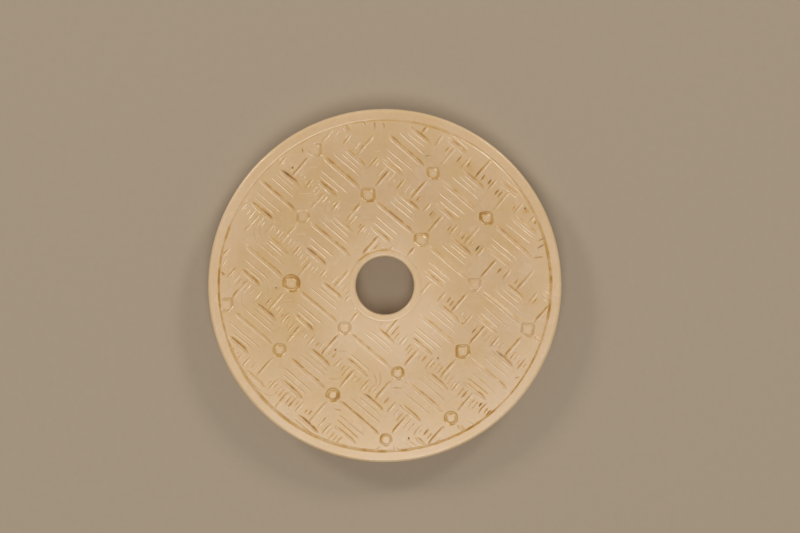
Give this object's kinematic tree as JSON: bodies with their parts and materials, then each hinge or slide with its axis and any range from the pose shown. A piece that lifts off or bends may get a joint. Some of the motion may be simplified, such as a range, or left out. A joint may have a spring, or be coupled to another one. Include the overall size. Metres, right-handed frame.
{
  "type": "jade bi disc",
  "caption": "Flat jade ring with a round central hole; its face is carved with a brocade of interlocking T strokes and small bosses inside a border line.",
  "frame": {"origin": "middle of the flat underside, on the axis of the hole", "axes": "+Z out of the carved face, along the hole; +Y towards the top of the disc as it is shown"},
  "size_m": [0.056, 0.056, 0.005],
  "materials": {
    "jade": "soft polish on pale honey-white nephrite, with yellow-brown stain in the cuts"
  },
  "bodies": {
    "root": {"jade_disc": "jade"}
  },
  "joints": []
}
